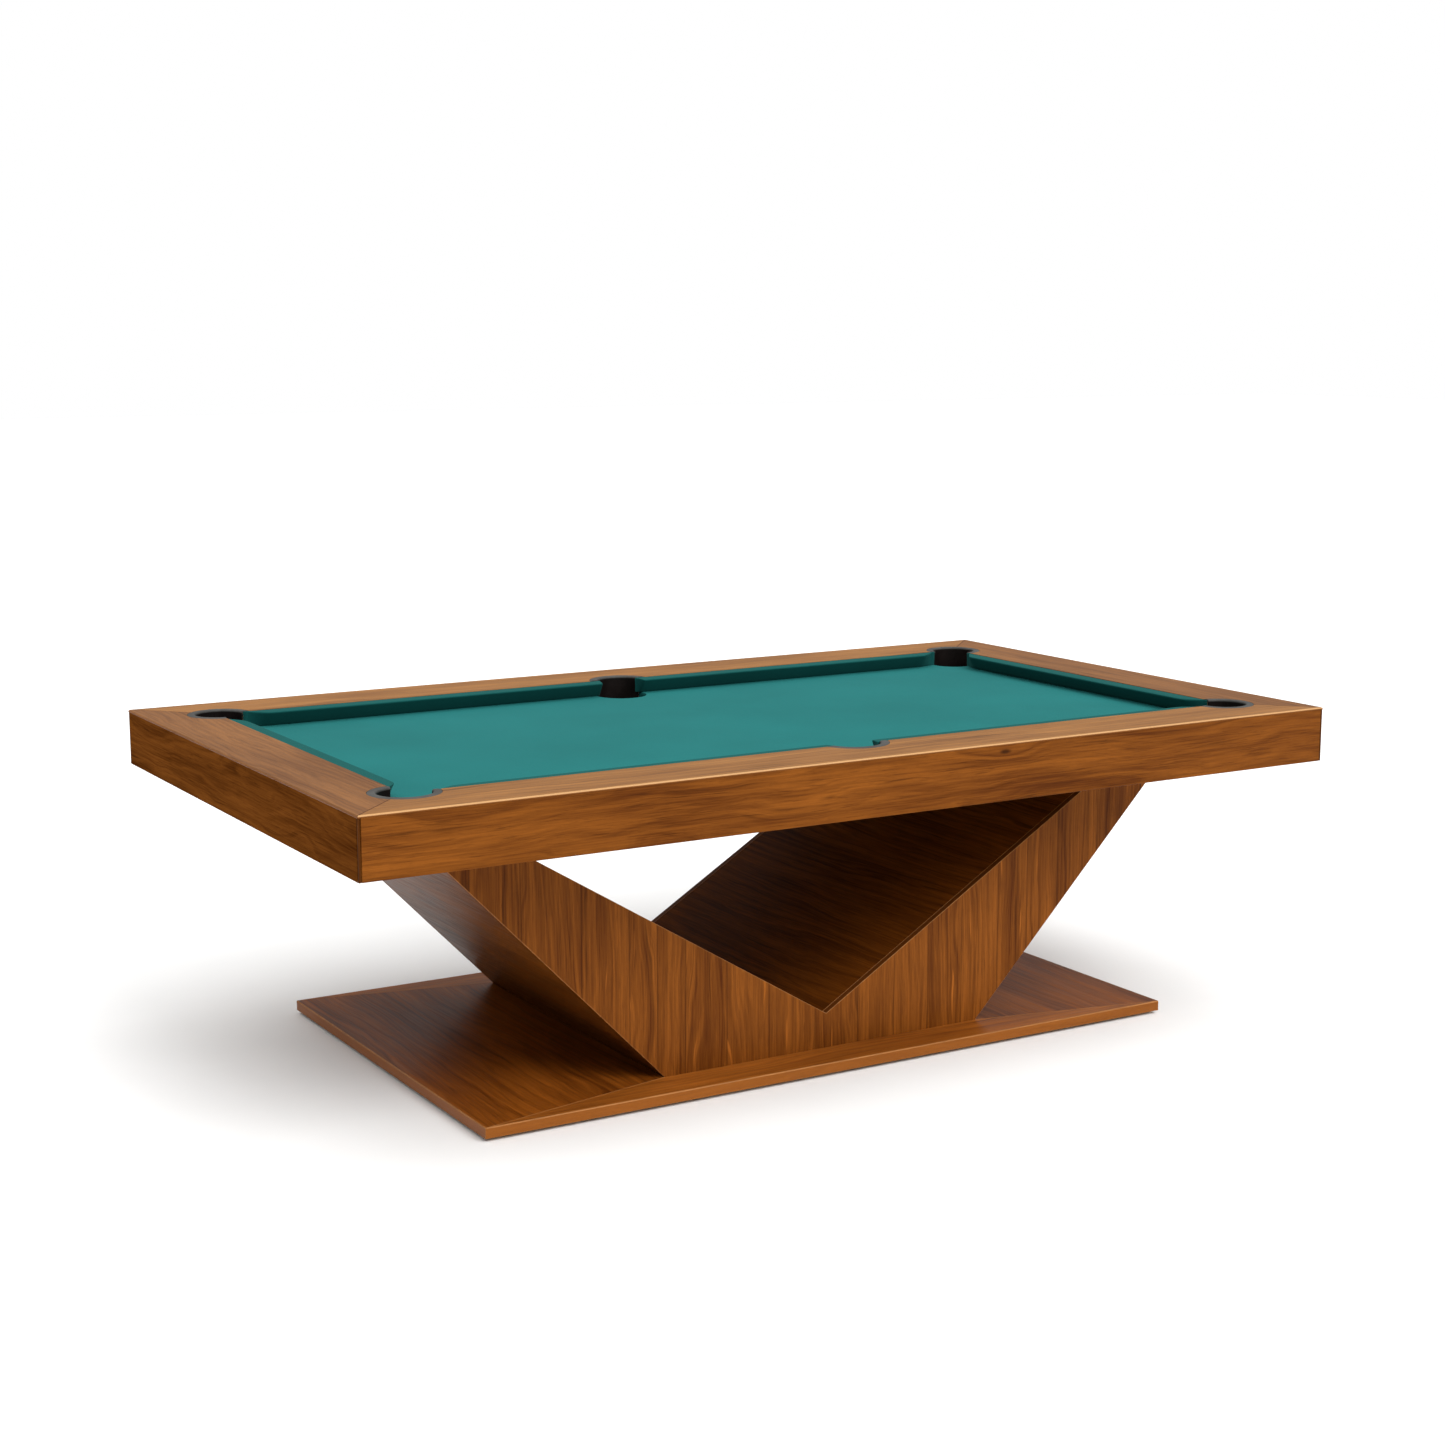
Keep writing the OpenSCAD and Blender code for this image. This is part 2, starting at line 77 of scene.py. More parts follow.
class Shader:
    """A node material while it is built. Every call adds one node and returns its first output."""

    def __init__(self, name, roughness=0.5, **sockets):
        self.material = bpy.data.materials.new(name)
        self.material.use_nodes = True
        self.tree = self.material.node_tree
        self.surface = self.tree.nodes["Principled BSDF"]
        self.surface.inputs["Roughness"].default_value = roughness
        for key, value in sockets.items():
            self.surface.inputs[key.replace("_", " ")].default_value = value

    def feed(self, socket, value):
        if isinstance(value, bpy.types.NodeSocket):
            self.tree.links.new(value, socket)
        elif value is not None:
            socket.default_value = value

    def node(self, kind, settings=(), inputs=()):
        made = self.tree.nodes.new("ShaderNode" + kind)
        for key, value in dict(settings).items():
            setattr(made, key, value)
        for key, value in dict(inputs).items():
            self.feed(made.inputs[key], value)
        return made

    def place(self):
        """The three coordinates of the shaded point in the CAD frame, by axis name."""
        point = self.node("TexCoord").outputs["Object"]
        split = self.node("SeparateXYZ", inputs={0: point})
        return dict(zip("xyz", split.outputs))

    def calc(self, operation, a, b=None, c=None):
        return self.node("Math", {"operation": operation}, {0: a, 1: b, 2: c}).outputs[0]

    def vector(self, x, y, z):
        return self.node("CombineXYZ", inputs={0: x, 1: y, 2: z}).outputs[0]

    def scaled(self, place, scales):
        """The point with each axis multiplied, for patterns that are long one way."""
        parts = [self.calc("MULTIPLY", p, s) for p, s in zip(place, scales)]
        return self.vector(*parts)

    def noise(self, at, scale=1.0, detail=2.0, rough=0.5):
        return self.node("TexNoise", inputs={
            "Vector": at, "Scale": scale, "Detail": detail, "Roughness": rough}).outputs[0]

    def noise_1d(self, at, scale, detail=3.0, rough=0.55):
        return self.node("TexNoise", {"noise_dimensions": "1D"}, {
            "W": at, "Scale": scale, "Detail": detail, "Roughness": rough}).outputs[0]

    def spread(self, value, low, high, to_low=0.0, to_high=1.0):
        """Smooth step of a value from one range to another."""
        return self.node("MapRange", {"interpolation_type": "SMOOTHSTEP"}, {
            0: value, 1: low, 2: high, 3: to_low, 4: to_high}).outputs[0]

    def ramp(self, value, stops):
        made = self.node("ValToRGB", inputs={0: value})
        band = made.color_ramp.elements
        while len(band) < len(stops):
            band.new(0.5)
        for element, (position, colour) in zip(band, stops):
            element.position = position
            element.color = (*colour, 1)
        return made.outputs[0]

    def mix(self, amount, a, b):
        """Two colours mixed. A colour is a socket or three numbers."""
        made = self.node("Mix", {"data_type": "RGBA"}, {0: amount})
        for index, colour in ((6, a), (7, b)):
            self.feed(made.inputs[index], colour if hasattr(colour, "node") else (*colour, 1))
        return made.outputs[2]

    def bump(self, height, distance, strength=1.0):
        made = self.node("Bump", inputs={"Height": height, "Distance": distance, "Strength": strength})
        return made.outputs[0]

    def finish(self, colour, roughness=None, normal=None):
        self.feed(self.surface.inputs["Base Color"], colour)
        self.feed(self.surface.inputs["Roughness"], roughness)
        self.feed(self.surface.inputs["Normal"], normal)
        self.material.diffuse_color = VIEWPORT_COLOUR
        return self.material


def wood(name, grain, shades, leaf=None, leaf_width=0.11, gloss=0.4, seed=0.0, knots=0.5, shine=0.14,
         over=None):
    """Satin lacquered wood. grain is the axis that it runs along; shades are dark, middle and light.
    leaf is the axis across which veneer leaves lie side by side, each with its own figure and tone.
    over changes the colour near an edge: it takes the shader, the place and the colour."""
    s = Shader(name, gloss, Specular_IOR_Level=shine)
    place = s.place()
    across, other = [axis for axis in "xyz" if axis != grain]
    if leaf and leaf != across:
        across, other = other, across
    along = s.calc("ADD", place[grain], seed * 3.7)
    side = s.calc("ADD", place[across], seed * 1.3)
    depth = place[other]
    dark, middle, light = shades
    stain = tuple(c * 0.4 for c in dark)
    if leaf:
        leaves = {"W": side, "Scale": 1 / leaf_width, "Randomness": 0.8}
        cell = s.node("TexVoronoi", {"voronoi_dimensions": "1D"}, leaves)
        seam = s.node("TexVoronoi", {"voronoi_dimensions": "1D", "feature": "DISTANCE_TO_EDGE"}, leaves)
        leaf_along, leaf_side, leaf_tone = s.node(
            "SeparateColor", inputs={0: cell.outputs["Color"]}).outputs
        along = s.calc("MULTIPLY_ADD", leaf_along, 5.0, along)
        side = s.calc("MULTIPLY_ADD", leaf_side, 3.0, side)
    at = (along, side, depth)

    # Knots: a few small dark eyes that the figure flows around
    knot_cell = s.node("TexVoronoi", inputs={"Vector": s.scaled(at, (2.4, 7.0, 7.0)), "Scale": 1.0})
    knot_pick = s.node("SeparateColor", inputs={0: knot_cell.outputs["Color"]}).outputs[0]
    knot_here = s.calc("LESS_THAN", knot_pick, knots * 0.35)
    knot_near = s.calc("MULTIPLY", s.spread(knot_cell.outputs["Distance"], 0.4, 0.0), knot_here)
    knot_eye = s.calc("MULTIPLY", s.spread(knot_cell.outputs["Distance"], 0.06, 0.02), knot_here)

    # Growth figure: lines of equal value across the board, bent by slow noise
    bend = s.calc("SUBTRACT", s.noise(s.scaled(at, (1.3, 6.0, 6.0)), 1.0, 3.0, 0.55), 0.5)
    phase = s.calc("MULTIPLY_ADD", bend, 0.12, side)
    phase = s.calc("MULTIPLY_ADD", depth, 0.55, phase)
    phase = s.calc("MULTIPLY_ADD", knot_near, 0.022, phase)
    flow = (along, phase, depth)
    rings = s.spread(s.noise_1d(phase, 90.0, 4.0, 0.62), 0.3, 0.7)
    streaks = s.spread(s.noise(s.scaled(flow, (1.8, 44.0, 18.0)), 1.0, 3.0, 0.6), 0.33, 0.67)
    fibres = s.spread(s.noise(s.scaled(at, (6.0, 260.0, 260.0)), 1.0, 2.0, 0.6), 0.32, 0.68)
    cloud = s.spread(s.noise(s.scaled(at, (1.8, 9.0, 9.0)), 1.0, 3.0, 0.5), 0.3, 0.7)
    shade = s.calc("MULTIPLY", rings, 0.26)
    shade = s.calc("MULTIPLY_ADD", streaks, 0.26, shade)
    shade = s.calc("MULTIPLY_ADD", fibres, 0.2, shade)
    shade = s.calc("MULTIPLY_ADD", cloud, 0.28, shade)
    if leaf:
        shade = s.calc("ADD", shade, s.calc("MULTIPLY_ADD", leaf_tone, 0.16, -0.08))
    colour = s.ramp(shade, ((0.12, dark), (0.5, middle), (0.88, light)))

    # Mineral streaks, dashes of open pores, and knots darken the figure
    mineral = s.spread(s.noise(s.scaled(flow, (2.2, 75.0, 26.0)), 1.0, 2.0, 0.5), 0.62, 0.74)
    dashes = s.spread(s.noise(s.scaled(at, (13.0, 430.0, 430.0)), 1.0, 2.0, 0.5), 0.6, 0.7)
    pores = s.spread(s.noise(s.scaled(at, (45.0, 1300.0, 1300.0)), 1.0, 1.0, 0.5), 0.62, 0.72)
    colour = s.mix(s.calc("MULTIPLY", mineral, 0.5), colour, stain)
    colour = s.mix(s.calc("MULTIPLY", dashes, 0.42), colour, stain)
    colour = s.mix(s.calc("MULTIPLY", pores, 0.3), colour, stain)
    if leaf:
        sapwood = s.spread(s.noise(s.scaled(flow, (5.0, 120.0, 40.0)), 1.0, 1.0, 0.5), 0.7, 0.8)
        colour = s.mix(s.calc("MULTIPLY", sapwood, 0.6), colour, tuple(c * 1.7 for c in light))
        joint = s.spread(seam.outputs["Distance"], 0.022, 0.006)
        colour = s.mix(s.calc("MULTIPLY", joint, 0.45), colour, stain)
    colour = s.mix(s.calc("MULTIPLY", knot_eye, 0.8), colour, tuple(c * 0.5 for c in stain))
    if over:
        colour = over(s, place, colour)

    roughness = s.calc("MULTIPLY_ADD", fibres, 0.12, gloss - 0.06)
    height = s.calc("MULTIPLY_ADD", dashes, -1.0, s.calc("MULTIPLY_ADD", rings, 0.3, fibres))
    return s.finish(colour, roughness, s.bump(height, 0.12 * MM, 0.5))


def tones(middle, spread):
    """Dark, middle and light tones around one linear colour, the dark one a little redder."""
    red, green, blue = middle
    dark = (red * (1 - spread), green * (1 - spread * 1.15), blue * (1 - spread * 1.2))
    light = (red * (1 + spread), green * (1 + spread * 1.1), blue * (1 + spread * 1.2))
    return dark, middle, light


# How far the nap's tone strays from the cloth's colour, and the strength of its sheen
CLOTH_NAP = 0.075
CLOTH_SHEEN = 0.08


def cloth(name, colour, across_axis="y"):
    """Worsted billiard cloth: a fine twill under a brushed nap, slightly uneven in tone."""
    s = Shader(name, 0.86, Sheen_Weight=CLOTH_SHEEN, Sheen_Roughness=0.45, Specular_IOR_Level=0.08)
    s.surface.inputs["Sheen Tint"].default_value = (*linear(120, 200, 190), 1)
    place = s.place()
    along_axis = "x" if across_axis == "y" else "y"
    along = place[along_axis]
    across = s.calc("ADD", place[across_axis], place["z"])
    thread = 2 * math.pi / (0.9 * MM)
    warp = s.calc("SINE", s.calc("MULTIPLY", along, thread))
    weft = s.calc("SINE", s.calc("MULTIPLY", across, thread))
    twill = s.calc("SINE", s.calc("MULTIPLY", s.calc("ADD", along, across), thread / 2))
    weave = s.calc("MULTIPLY_ADD", twill, 0.6, s.calc("MULTIPLY", warp, weft))
    fuzz = s.noise(s.vector(along, across, place["z"]), 900.0, 3.0, 0.6)
    wear = s.noise(s.vector(along, across, 0.0), 2.2, 3.0, 0.55)
    flecks = s.spread(s.noise(s.vector(along, across, 0.0), 260.0, 1.0, 0.5), 0.68, 0.8)
    shade = s.calc("MULTIPLY_ADD", fuzz, 0.34, s.calc("MULTIPLY_ADD", wear, 0.5, 0.08))
    low = tuple(c * (1 - CLOTH_NAP * 2.2) for c in colour)
    high = tuple(c * (1 + CLOTH_NAP * 2.2) for c in colour)
    tone = s.ramp(shade, ((0.3, low), (0.7, high)))
    tone = s.mix(s.calc("MULTIPLY", flecks, 0.3), tone, tuple(c * 1.5 + 0.01 for c in colour))
    height = s.calc("MULTIPLY_ADD", fuzz, 1.2, weave)
    roughness = s.calc("MULTIPLY_ADD", fuzz, 0.12, 0.8)
    return s.finish(tone, roughness, s.bump(height, 0.1 * MM, 0.35))


def moulded_plastic(name, rim_colour, inside_shade_colour, gloss, inside_z):
    """Moulded pocket plastic with a fine leather-like texture: a rubbed grey rim over a well painted near
    black for the shade inside the pocket.
    """
    s = Shader(name, gloss, Specular_IOR_Level=0.12)
    place = s.place()
    point = s.vector(place["x"], place["y"], place["z"])
    pebble = s.node("TexVoronoi", inputs={"Vector": point, "Scale": 700.0}).outputs["Distance"]
    rub = s.noise(point, 24.0, 4.0, 0.6)
    tone = s.mix(s.spread(rub, 0.35, 0.75), rim_colour, tuple(c * 1.45 + 0.004 for c in rim_colour))
    well = s.mix(s.spread(rub, 0.35, 0.75), inside_shade_colour, tuple(c * 1.6 for c in inside_shade_colour))
    # Painted shade: below inside_z the plastic takes the near-black well colour
    tone = s.mix(s.spread(place["z"], inside_z, inside_z + 3 * MM), well, tone)
    roughness = s.calc("MULTIPLY_ADD", rub, 0.22, gloss - 0.11)
    return s.finish(tone, roughness, s.bump(pebble, 0.12 * MM, 0.4))


# Places and colours of the slate's tones, from dark to light
SLATE_TONES = (
    (0.3, linear(52, 56, 60)),
    (0.55, linear(74, 78, 83)),
    (0.75, linear(104, 107, 110)),
)


def honed_slate(name):
    s = Shader(name, 0.62, Specular_IOR_Level=0.4)
    place = s.place()
    point = s.vector(place["x"], place["y"], place["z"])
    cloud = s.noise(point, 5.0, 5.0, 0.6)
    layers = s.noise(s.scaled((place["x"], place["y"], place["z"]), (3.0, 3.0, 260.0)), 1.0, 3.0, 0.6)
    shade = s.calc("MULTIPLY_ADD", layers, 0.5, s.calc("MULTIPLY", cloud, 0.5))
    tone = s.ramp(shade, SLATE_TONES)
    grit = s.noise(point, 1400.0, 2.0, 0.6)
    return s.finish(tone, s.calc("MULTIPLY_ADD", cloud, 0.2, 0.52), s.bump(grit, 0.15 * MM, 0.4))


def metal(name, colour, roughness, turned):
    """Plated or turned metal: fine tool marks round the vertical axis, with a cloudy finish."""
    s = Shader(name, roughness, Metallic=1.0)
    place = s.place()
    point = s.vector(place["x"], place["y"], place["z"])
    marks = s.noise(s.scaled((place["x"], place["y"], place["z"]), (60.0, 60.0, turned)), 1.0, 3.0, 0.6)
    cloud = s.noise(point, 90.0, 3.0, 0.6)
    tone = s.mix(s.spread(cloud, 0.3, 0.75), tuple(c * 0.72 for c in colour), colour)
    rough = s.calc("MULTIPLY_ADD", cloud, 0.2, s.calc("MULTIPLY_ADD", marks, 0.12, roughness - 0.16))
    return s.finish(tone, rough, s.bump(marks, 0.05 * MM, 0.4))


# Wood tones for each kind of surface: dark, middle and light
BROWN = tones((0.170, 0.050, 0.0058), 0.5)
# Painted shade: the end aprons' copy of the apron veneer, darker because less light falls on the ends
BROWN_SIDE_SHADED = tones((0.120, 0.037, 0.0060), 0.5)
# Painted light and shade: one base veneer in two copies, darker on the end panels for the dim light there
# and lighter on the long panels to offset the table's shadow
BROWN_BASE_ENDS_SHADED = tones((0.195, 0.052, 0.0050), 0.58)
BROWN_BASE_LONG_LIT = tones((0.285, 0.085, 0.0110), 0.45)
BROWN_BASE_EDGE = (0.275, 0.085, 0.0110)
BROWN_UPRIGHT = tones((0.182, 0.053, 0.0068), 0.55)
# Painted shade: the veneer inside the pedestal's V, darker where the table shades it; its dark tone also
# draws the real mitre lines between caps
BROWN_INSIDE_SHADE_AND_JOINT = tones((0.125, 0.033, 0.0030), 0.55)
# Painted shade: the pedestal's outer panels, a darker copy of its veneer for the dimmer light on their sides
BROWN_OUTER_SHADED = tones((0.125, 0.036, 0.0040), 0.5)
BROWN_TOP = tones((0.255, 0.110, 0.030), 0.36)
# Painted shade: the short rail caps' copy of the cap veneer, darker because of how light falls on them
BROWN_TOP_SIDE_SHADED = tones((0.185, 0.076, 0.023), 0.4)
BROWN_BEAD = tones((0.085, 0.026, 0.0045), 0.4)
# Partly rubbed lacquer, partly a painted highlight: the pale tone of eased board edges
BROWN_EDGE_HIGHLIGHT = tones((0.360, 0.150, 0.045), 0.25)
# Painted highlight: pale colour for the chamfer of the long rail caps
CHAMFER_HIGHLIGHT = (0.500, 0.280, 0.120)
PLY_TONES = tones((0.500, 0.330, 0.170), 0.2)
TIMBER_TONES = tones((0.540, 0.340, 0.150), 0.22)
TEAL = (0.0105, 0.128, 0.125)
# Painted shade: the cushions' copy of the bed cloth, darker for the shade on their faces
TEAL_SHADED_CUSHION = (0.0050, 0.072, 0.067)
RIM_GREY = (0.050, 0.049, 0.046)
# Painted shade: the near-black colour of the liner inside the pocket
WELL_SHADE_BLACK = (0.0055, 0.0035, 0.0030)

GRAIN_OF = {
    "base_core": "x", "base_panel_front": "x", "base_panel_back": "x",
    "base_panel_left": "y", "base_panel_right": "y",
    "pedestal_front_panel": "z", "pedestal_back_panel": "z",
    "pedestal_outer_panel_left": "y", "pedestal_outer_panel_right": "y",
    "pedestal_inner_panel_left": "y", "pedestal_inner_panel_right": "y",
    "pedestal_floor": "x", "pedestal_arm_top_left": "y", "pedestal_arm_top_right": "y",
    "pedestal_rib": "x", "frame_beam_front": "x", "frame_beam_back": "x",
    "frame_cross_arm_left": "y", "frame_cross_joint_left": "y", "frame_cross_centre": "y",
    "frame_cross_joint_right": "y", "frame_cross_arm_right": "y",
    "rail_body_front": "x", "rail_body_back": "x", "rail_body_left": "y", "rail_body_right": "y",
    "rail_cap_front": "x", "rail_cap_back": "x", "rail_cap_left": "y", "rail_cap_right": "y",
    "apron_front": "x", "apron_back": "x", "apron_left": "y", "apron_right": "y",
    "corner_beads": "z",
}


# Outer edges of the table's top and face of the pedestal, for tones that change there
OUTER_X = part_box("rail_cap_right")[1].x
OUTER_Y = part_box("rail_cap_back")[1].y
TOP_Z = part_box("rail_cap_back")[1].z
PEDESTAL_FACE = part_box("pedestal_back_panel")[1].y
BASE_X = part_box("base_panel_right")[1].x
BASE_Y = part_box("base_panel_back")[1].y
CHAMFER = 3 * MM


def cap_tones_and_highlight(s, place, colour):
    """A painted highlight on the chamfer along the table's long top edges, the apron's tone on the side
    below it, and a fine dark line where two caps meet."""
    past_x = s.calc("SUBTRACT", s.calc("ABSOLUTE", place["x"]), OUTER_X)
    past_y = s.calc("SUBTRACT", s.calc("ABSOLUTE", place["y"]), OUTER_Y)
    border = s.calc("MAXIMUM", past_x, past_y)
    from_arris = s.calc("ADD", past_y, s.calc("SUBTRACT", place["z"], TOP_Z))
    side = s.spread(border, -0.5 * MM, -0.2 * MM)
    chamfer = s.spread(from_arris, -CHAMFER - 0.5 * MM, -CHAMFER - 0.1 * MM)
    from_mitre = s.calc("ABSOLUTE", s.calc("SUBTRACT", past_x, past_y))
    mitre = s.spread(from_mitre, 3.0 * MM, 1.0 * MM)
    colour = s.mix(s.calc("MULTIPLY", mitre, 0.85), colour, BROWN_INSIDE_SHADE_AND_JOINT[0])
    colour = s.mix(s.calc("MULTIPLY", side, 0.9), colour, BROWN[1])
    # Painted highlight: the chamfer takes a pale colour in place of the bright line that light draws along
    # the arris
    return s.mix(s.calc("MULTIPLY", chamfer, 0.92), colour, CHAMFER_HIGHLIGHT)


def edged(s, place, colour):
    """The base plate's outer edge, in a lighter cut of the same veneer."""
    past_x = s.calc("SUBTRACT", s.calc("ABSOLUTE", place["x"]), BASE_X)
    past_y = s.calc("SUBTRACT", s.calc("ABSOLUTE", place["y"]), BASE_Y)
    side = s.spread(s.calc("MAXIMUM", past_x, past_y), -0.7 * MM, -0.2 * MM)
    return s.mix(s.calc("MULTIPLY", side, 0.75), colour, BROWN_BASE_EDGE)


def edges_in_painted_shade(s, place, colour):
    """The pedestal's face veneer ends at its arris; the board's edges take the painted shade of the V's
    inside.
    """
    behind = s.spread(s.calc("ABSOLUTE", place["y"]), PEDESTAL_FACE - 0.4 * MM, PEDESTAL_FACE - 1.2 * MM)
    return s.mix(behind, colour, BROWN_INSIDE_SHADE_AND_JOINT[1])


def wood_for(node):
    """The veneer or timber of one CAD board, with its own part of the tree."""
    slot = slot_of[node]
    grain = GRAIN_OF[node]
    seed = 1.0 + 0.61 * sorted(GRAIN_OF).index(node)
    name = f"{slot}_{node}"
    if slot == "walnut_upright":
        return wood(name, grain, BROWN_UPRIGHT, leaf="x", seed=seed, knots=0.9, shine=0.05, over=edges_in_painted_shade)
    if slot == "walnut_rail_top":
        # Painted shade: short rail caps take a darker copy of the cap veneer
        shades = BROWN_TOP if grain == "x" else BROWN_TOP_SIDE_SHADED
        return wood(name, grain, shades, gloss=0.44, seed=seed, knots=0.1, shine=0.1, over=cap_tones_and_highlight)
    if slot == "walnut_bead":
        return wood(name, grain, BROWN_BEAD, seed=seed, knots=0.0, shine=0.02)
    if slot == "plywood":
        return wood(name, grain, PLY_TONES, gloss=0.7, seed=seed, knots=0.6, shine=0.4)
    if slot == "frame_timber":
        return wood(name, grain, TIMBER_TONES, gloss=0.75, seed=seed, knots=1.0, shine=0.4)
    # Painted shade: the V's inner panels take a darker copy of the veneer
    if node.startswith("pedestal_inner"):
        return wood(name, grain, BROWN_INSIDE_SHADE_AND_JOINT, gloss=0.36, seed=seed, knots=0.3, shine=0.01)
    # Painted shade: outer panels take a darker copy of the veneer
    if node.startswith("pedestal_outer"):
        return wood(name, grain, BROWN_OUTER_SHADED, gloss=0.36, seed=seed, knots=0.3, shine=0.06)
    if node.startswith("base_panel"):
        # Painted light and shade: long base panels take the lighter copy of the veneer, end panels the
        # darker one
        shades = BROWN_BASE_LONG_LIT if grain == "x" else BROWN_BASE_ENDS_SHADED
        return wood(name, grain, shades, gloss=0.34, seed=seed, knots=0.2, shine=0.12, over=edged)
    if node in ("apron_left", "apron_right"):
        # Painted shade: the end aprons take a darker copy of the apron veneer
        return wood(name, grain, BROWN_SIDE_SHADED, gloss=0.42, seed=seed, knots=0.1, shine=0.0)
    return wood(name, grain, BROWN, gloss=0.42, seed=seed, knots=0.1, shine=0.04)


bed_cloth_finish = cloth("bed_cloth_finish", TEAL)
# Painted shade: cushions take a darker copy of the bed cloth
cushion_finish_x = cloth("cushion_cloth_finish_x", TEAL_SHADED_CUSHION, "y")
cushion_finish_y = cloth("cushion_cloth_finish_y", TEAL_SHADED_CUSHION, "x")
liner_finish = moulded_plastic("pocket_liner_finish", RIM_GREY, WELL_SHADE_BLACK, 0.5, TOP_Z - 6 * MM)
slate_finish = honed_slate("honed_slate_finish")
steel_finish = metal("zinc_steel_finish", linear(176, 178, 182), 0.38, 500.0)
brass_finish = metal("turned_brass_finish", linear(202, 164, 92), 0.3, 900.0)
# Partly rubbed lacquer, partly a painted highlight along the eased edges
edge_highlight_finish = wood("veneer_edge_highlight_finish", "x", BROWN_EDGE_HIGHLIGHT, gloss=0.4, knots=0.0)
FINISH_OF_SLOT = {
    "slate": slate_finish, "foot_steel": steel_finish, "fastener_steel": steel_finish,
    "insert_brass": brass_finish,
}


# ---- CAD parts that stay: finer edges and real finishes ----

EDGE_WIDTH = {
    "walnut_veneer": 1.0 * MM, "walnut_upright": 1.2 * MM, "walnut_rail_top": 0.7 * MM,
    "walnut_bead": 1.2 * MM, "plywood": 0.5 * MM, "frame_timber": 1.0 * MM,
}
# Boards whose edges are rubbed paler and carry a painted highlight along the arris
RUBBED_AND_HIGHLIT_BOARDS = ("base_panel", "pedestal_front", "pedestal_back", "pedestal_inner")


def ease_edges(part, width, rubbed):
    """Rounds the sharp edges of a board. A rubbed edge takes the board's second, paler finish, which is
    partly rubbed lacquer and partly a painted highlight.
    """
    weld = part.modifiers.new("weld", "WELD")
    weld.merge_threshold = 0.01 * MM
    flat = part.modifiers.new("flat", "DECIMATE")
    flat.decimate_type = "DISSOLVE"
    flat.angle_limit = math.radians(0.5)
    ease = part.modifiers.new("ease", "BEVEL")
    ease.width = width
    ease.segments = 2
    ease.limit_method = "ANGLE"
    ease.angle_limit = math.radians(28)
    ease.material = 1 if rubbed else -1
    normals = part.modifiers.new("normals", "WEIGHTED_NORMAL")
    normals.keep_sharp = False


def dress_cad_parts():
    for name, part in nodes.items():
        slot = slot_of[name]
        part.data.materials.clear()
        if name in GRAIN_OF:
            part.data.materials.append(wood_for(name))
            rubbed = name.startswith(RUBBED_AND_HIGHLIT_BOARDS)
            if rubbed:
                part.data.materials.append(edge_highlight_finish)
            ease_edges(part, EDGE_WIDTH[slot], rubbed)
        elif slot in FINISH_OF_SLOT:
            part.data.materials.append(FINISH_OF_SLOT[slot])


dress_cad_parts()


# ---- Building meshes ----


def mesh_object(name, points, faces, material, smooth=True):
    mesh = bpy.data.meshes.new(name)
    mesh.from_pydata([tuple(p) for p in points], [], faces)
    mesh.materials.append(material)
    bm = bmesh.new()
    bm.from_mesh(mesh)
    bmesh.ops.remove_doubles(bm, verts=bm.verts, dist=0.001 * MM)
    bmesh.ops.recalc_face_normals(bm, faces=bm.faces)
    for face in bm.faces:
        face.smooth = smooth
    bm.to_mesh(mesh)
    bm.free()
    made = bpy.data.objects.new(name, mesh)
    bpy.context.scene.collection.objects.link(made)
    return made


def rounded(corners, steps=5):
    """A closed outline whose corners are (x, y, radius); a corner with no radius stays sharp."""
    outline = []
    count = len(corners)
    for i, (x, y, radius) in enumerate(corners):
        here = Vector((x, y))
        if not radius:
            outline.append((x, y))
            continue
        before = (Vector(corners[i - 1][:2]) - here).normalized()
        after = (Vector(corners[(i + 1) % count][:2]) - here).normalized()
        half = before.angle(after) / 2
        centre = here + (before + after).normalized() * (radius / math.sin(half))
        first = here + before * (radius / math.tan(half)) - centre
        last = here + after * (radius / math.tan(half)) - centre
        start = math.atan2(first.y, first.x)
        sweep = (math.atan2(last.y, last.x) - start + math.pi) % (2 * math.pi) - math.pi
        for k in range(steps + 1):
            turn = start + sweep * k / steps
            outline.append((centre.x + radius * math.cos(turn), centre.y + radius * math.sin(turn)))
    return outline


# ---- Cushions ----

# Angle between a cushion's end and its nose line, at the corner pockets and at the side pockets
JAW_CORNER = math.radians(38)
JAW_SIDE = math.radians(76)
# How softly the end turns into the nose
JAW_SOFT_CORNER = 7 * MM
JAW_SOFT_SIDE = 5 * MM
CUSHION_TIP = 1.6 * MM
TIP_GAP = 0.2 * MM
SIDE_TIP = 0.2 * MM
RAIL_BORE_GAP = 0.3 * MM
LINER_WALL = 4 * MM
CUSHION_SPAN_STEPS = 24
CUSHION_JAW_STEPS = 16


def cushion_section(depth, low, high):
    """Outline as (depth behind the nose, height), from the back of the underside round the nose."""
    nose_top = high - 2.8 * MM
    nose_low = high - 5.7 * MM
    return rounded([
        (depth, low - 0.6 * MM, 1.0 * MM),
        (depth, high - 0.2 * MM, 2.4 * MM),
        (5.2 * MM, high - 1.3 * MM, 4.5 * MM),
        (0, nose_top, 1.6 * MM),
        (0, nose_low, 1.6 * MM),
        (0.6 * depth, low - 0.6 * MM, 4 * MM),
    ], 5)


def setback(distance, depth, jaw, soft):
    """How far the nose stands back, at a distance from the cushion's end along the wood."""
    straight = depth - distance * math.tan(jaw)
    eased = (straight + math.hypot(straight, soft)) / 2
    return min(eased, depth - CUSHION_TIP)


